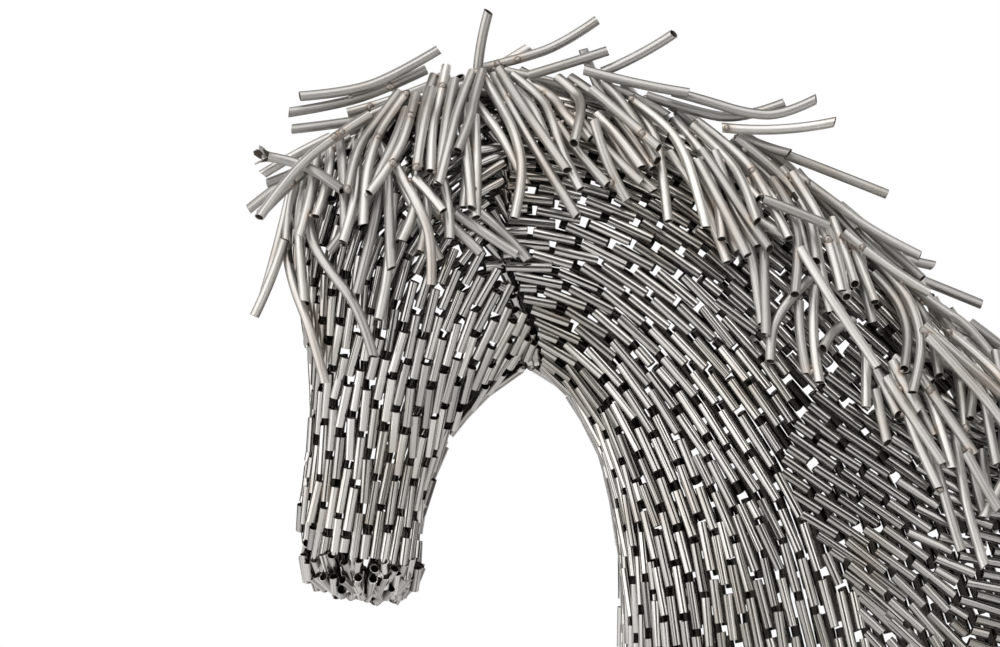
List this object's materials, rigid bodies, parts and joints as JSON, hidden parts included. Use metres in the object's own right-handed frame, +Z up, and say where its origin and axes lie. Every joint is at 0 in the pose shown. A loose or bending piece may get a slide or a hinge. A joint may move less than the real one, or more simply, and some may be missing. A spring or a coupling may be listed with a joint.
{
  "type": "steel pipe horse sculpture",
  "caption": "Bust of a horse with arched neck and hanging head, welded from short steel pipes into a hollow skin, with a mane of longer bent pipes; stands on the flat cut of its neck.",
  "frame": {"origin": "on the flat cut under the neck, under the middle of the whole sculpture's box", "axes": "+X from the nose towards the back of the neck, +Y towards the horse's right side, +Z up"},
  "size_m": [1.0888, 0.3582, 0.815],
  "materials": {
    "polished_pipe": "short stainless pipes, ground bright along their length, warm grey with dark streaks",
    "satin_pipe": "bent stainless pipes with a satin surface and a brownish heat tint at the welds"
  },
  "bodies": {
    "root": {"crest_01": "satin_pipe", "crest_02": "satin_pipe", "crest_03": "satin_pipe", "crest_04": "satin_pipe", "crest_05": "satin_pipe", "crest_06": "satin_pipe", "crest_07": "satin_pipe", "far_mane_01": "satin_pipe", "far_mane_02": "satin_pipe", "far_mane_03": "satin_pipe", "far_mane_04": "satin_pipe", "far_mane_05": "satin_pipe", "far_mane_06": "satin_pipe", "far_mane_07": "satin_pipe", "far_mane_08": "satin_pipe", "far_mane_09": "satin_pipe", "far_mane_10": "satin_pipe", "forelock_01": "satin_pipe", "forelock_02": "satin_pipe", "forelock_03": "satin_pipe", "forelock_04": "satin_pipe", "forelock_05": "satin_pipe", "forelock_06": "satin_pipe", "forelock_07": "satin_pipe", "forelock_08": "satin_pipe", "forelock_09": "satin_pipe", "forelock_10": "satin_pipe", "forelock_11": "satin_pipe", "forelock_12": "satin_pipe", "near_mane_01": "satin_pipe", "near_mane_02": "satin_pipe", "near_mane_03": "satin_pipe", "near_mane_04": "satin_pipe", "near_mane_05": "satin_pipe", "near_mane_06": "satin_pipe", "near_mane_07": "satin_pipe", "near_mane_08": "satin_pipe", "near_mane_09": "satin_pipe", "near_mane_10": "satin_pipe", "near_mane_11": "satin_pipe", "near_mane_12": "satin_pipe", "near_mane_13": "satin_pipe", "near_mane_14": "satin_pipe", "near_mane_15": "satin_pipe", "near_mane_16": "satin_pipe", "near_mane_17": "satin_pipe", "near_mane_18": "satin_pipe", "near_mane_19": "satin_pipe", "near_mane_20": "satin_pipe", "near_mane_21": "satin_pipe", "near_mane_22": "satin_pipe", "near_mane_23": "satin_pipe", "near_mane_24": "satin_pipe", "near_mane_25": "satin_pipe", "near_mane_26": "satin_pipe", "near_mane_27": "satin_pipe", "near_mane_28": "satin_pipe", "pipe_skin": "polished_pipe"}
  },
  "joints": []
}
